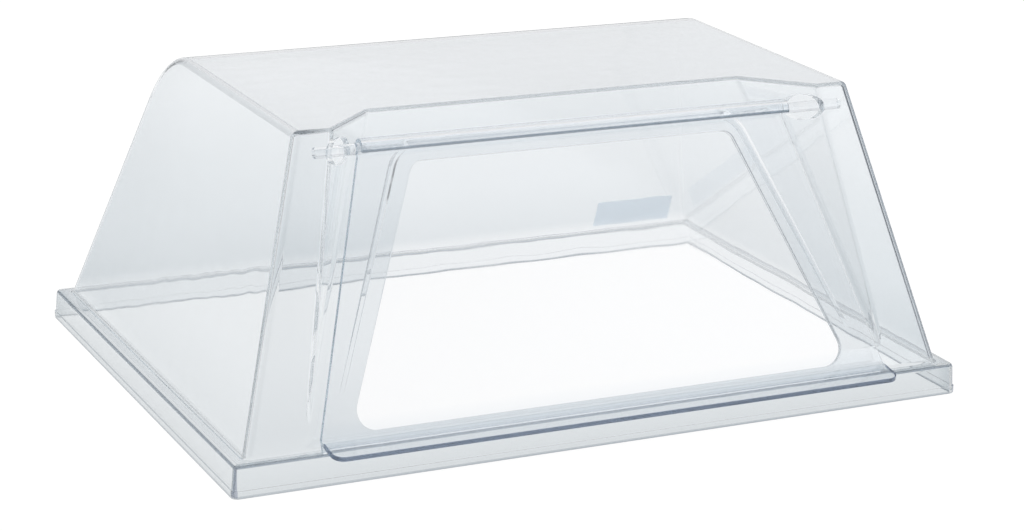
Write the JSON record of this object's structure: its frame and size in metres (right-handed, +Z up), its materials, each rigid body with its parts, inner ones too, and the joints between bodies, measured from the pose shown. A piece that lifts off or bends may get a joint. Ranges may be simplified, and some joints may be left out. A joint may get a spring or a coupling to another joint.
{
  "type": "food cover",
  "caption": "Clear moulded food cover for a bakery tray, with leaning walls, a recessed front opening and a flip-up flap that turns on a rod.",
  "frame": {"origin": "centre of the rim's outline, on the plane that the rim stands on", "axes": "+X to the right, +Y to the back, +Z up; the flap is at the front, on -Y"},
  "size_m": [0.457, 0.3468, 0.183],
  "materials": {
    "hood": "clear, polished",
    "flap": "clear, polished",
    "hinge_rod": "clear, extruded",
    "hinge_bush": "clear, moulded",
    "label": "matt, blank"
  },
  "bodies": {
    "cover": {"hood": "hood", "hinge_rod": "hinge_rod", "hinge_bush_left": "hinge_bush", "hinge_bush_right": "hinge_bush", "label": "label"},
    "flap": {"flap": "flap"}
  },
  "joints": [
    {"name": "flap_hinge", "type": "hinge", "parent": "cover", "child": "flap", "pos_m": [0, -0.106, 0.169], "axis": [-1, 0, 0], "range_deg": [0, 197]}
  ]
}
